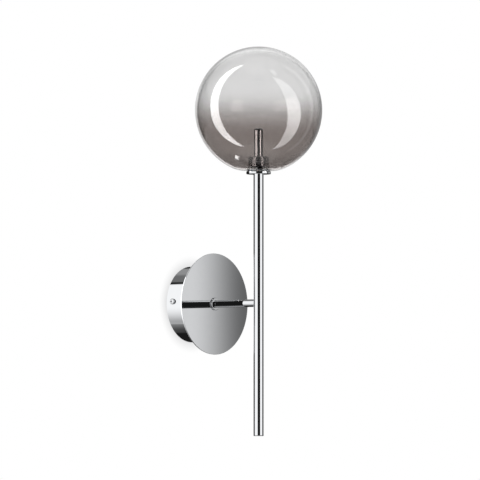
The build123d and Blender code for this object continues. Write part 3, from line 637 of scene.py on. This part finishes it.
def post_sheet(name, azimuths, glow):
    """A small sheet beside the globe's foot, which the post and the threads in it mirror."""
    start, end = azimuths
    out = bearing((start + end) / 2)
    width = 2 * post_sheet_distance * tan(radians((end - start) / 2))
    height = post_top - glass_low.z + above_post
    place = Vector((rod_x, rod_y, glass_low.z + height / 2)) + out * post_sheet_distance
    tree = lit_sheet(name, width, height, place, -out, glass_only)
    give_glass_light(tree, glow * inside_globe(tree))


panel_distance = 2.0

# A wide panel's lamp is larger than the light on it: by these degrees at each side, and
# in height by this factor and these metres, because its corners are farther away.
panel_overlap = 8.0
panel_stretch = 1.5
panel_headroom = 1.0


def wide_panel(name, azimuths, elevations, glow, shown_in, side, rise, slant=0.0, bounce=None):
    """A large panel of light, between bearings from the arm; slant spreads it above and below.

    bounce 1 shows it in the first mirror that a ray meets, and bounce 2 in the later ones.
    """
    middle = (azimuths[0] + azimuths[1]) / 2
    out = bearing(middle)
    origin = Vector((rod_x, rod_y, 0.0))
    half_spread = (azimuths[1] - azimuths[0]) / 2 + panel_overlap
    half_width = panel_distance * tan(radians(half_spread))
    reach = max(abs(tan(radians(elevation))) for elevation in elevations)
    half_height = panel_distance * panel_stretch * reach + panel_headroom
    place = origin + out * panel_distance
    tree = lit_sheet(name, 2 * half_width, 2 * half_height, place, -out, shown_in)
    point = tree.add("NewGeometry", out="Position")
    away = tree.add("VectorMath", {"operation": "SUBTRACT"}, {0: point, 1: origin})
    azimuth, elevation = tree.bearings(away)
    azimuth = tree.maths("WRAP", azimuth, middle + 180.0, middle - 180.0)
    slanted = azimuth + tree.maths("ABSOLUTE", elevation) * slant
    light = panel(tree, slanted, elevation, azimuths, elevations, glow, side, rise)
    if bounce:
        mirrored = tree.ray("Glossy Depth")
        light = light * (mirrored < one_bounce if bounce == 1 else mirrored > one_bounce)
    give_light(tree, light)


card_distance = 0.36
card_width = 0.40
card_height = 0.34
card_fade = (-0.038, 0.036)
card_dark = 0.135
card_light = 0.73


def disc_card():
    """A card to the right of the lamp, dark to light across, which the front disc mirrors."""
    mirrored = Vector((-to_camera.x, to_camera.y, -to_camera.z))
    place = disc_centre + mirrored * card_distance
    tree = lit_sheet("disc_card", card_width, card_height, place, -mirrored, disc_and_collar)
    along = offsets(tree, place, -mirrored)[0]
    give_light(tree, tree.step(along, *card_fade, card_dark, card_light))


backdrop_distance = 0.60
backdrop_spread = 55.0
rim_spread = 35.0
rim_edge = 0.01
flat_top = 0.6
rim_glow = 0.66
rim_glow_above = 0.40
rim_glow_least = 0.14

# The backdrop's lit parts, in metres from its middle: where each one begins and is full.
left_part = (0.06, 0.0)
low_part = (-0.10, -0.16)
low_part_from_right = (0.24, 0.12)
high_part = (0.06, 0.20)


def backdrop_card():
    """The white behind the lamp, which the rim of the globe mirrors, but dim on its right."""
    side = 2 * backdrop_distance * tan(radians(backdrop_spread))
    reach = backdrop_distance * tan(radians(rim_spread))
    place = globe_centre - to_camera * backdrop_distance
    tree = lit_sheet("backdrop_card", side, side, place, to_camera, glass_only)
    along, up = offsets(tree, place, to_camera)
    flattened = tree.maths("MINIMUM", up * flat_top, up)
    from_middle = tree.length(along, flattened)
    left = tree.step(along, *left_part)
    below = tree.step(up, *low_part) * tree.step(along, *low_part_from_right)
    above = tree.step(up, *high_part)
    bright = tree.maths("MAXIMUM", tree.maths("MAXIMUM", left, below), above)
    glow = bright * (rim_glow - above * (rim_glow - rim_glow_above)) + rim_glow_least
    give_glass_light(tree, tree.step(from_middle, reach + rim_edge, reach - rim_edge) * glow)


studio()
wide_panel(
    "left_panel", azimuths=(-146.0, -72.0), elevations=(-32.0, 44.0), glow=1.08,
    shown_in=all_but_glass, side=2.0, rise=(28.0, 1.0), slant=0.17,
)
wide_panel(
    "low_left_panel", azimuths=(-186.0, -150.0), elevations=(-46.0, -26.0), glow=0.22,
    shown_in=all_but_glass, side=6.0, rise=(5.0, 12.0),
)
wide_panel(
    "right_panel", azimuths=(-13.0, 33.0), elevations=(-20.0, 60.0), glow=1.15,
    shown_in=all_but_disc, side=2.0, rise=(10.0, 8.0),
)
wide_panel(
    "front_panel", azimuths=(-90.0, 16.0), elevations=(-40.0, 40.0), glow=0.55,
    shown_in=disc_and_collar, side=20.0, rise=(36.0, 30.0), bounce=1,
)
wide_panel(
    "arm_panel", azimuths=(-14.0, 24.0), elevations=(-58.0, 58.0), glow=0.55,
    shown_in=disc_and_collar, side=5.0, rise=(12.0, 12.0), bounce=2,
)
wide_panel(
    "rear_panel", azimuths=(112.0, 248.0), elevations=(-30.0, 50.0), glow=0.8,
    shown_in=rear_pieces, side=20.0, rise=(20.0, 20.0),
)
post_sheet("post_left_sheet", azimuths=(-146.0, -84.0), glow=3.2)
post_sheet("post_right_sheet", azimuths=(-14.0, 14.0), glow=4.2)
globe_strip(
    "left_strip", azimuth=-134.5, spread=19.8, elevations=(-68.2, 72.6), glows=(6.0, 8.3, 9.9),
    lean=-1.0, tilt=2.04,
)
globe_strip(
    "right_strip", azimuth=18.0, spread=27.4, elevations=(-69.7, 59.5), glows=(1.9, 6.0, 4.4),
    lean=1.31, tilt=1.1, belly=0.35,
)
globe_spot("high_spot", azimuth=-2.3, elevation=61.4, distance=0.5, size=(0.055, 0.085), glow=1.4)
globe_spot("low_spot", azimuth=-151.4, elevation=-65.0, distance=0.2, size=(0.030, 0.016), glow=7.0)
disc_card()
backdrop_card()
bpy.context.scene.view_settings.view_transform = "Standard"
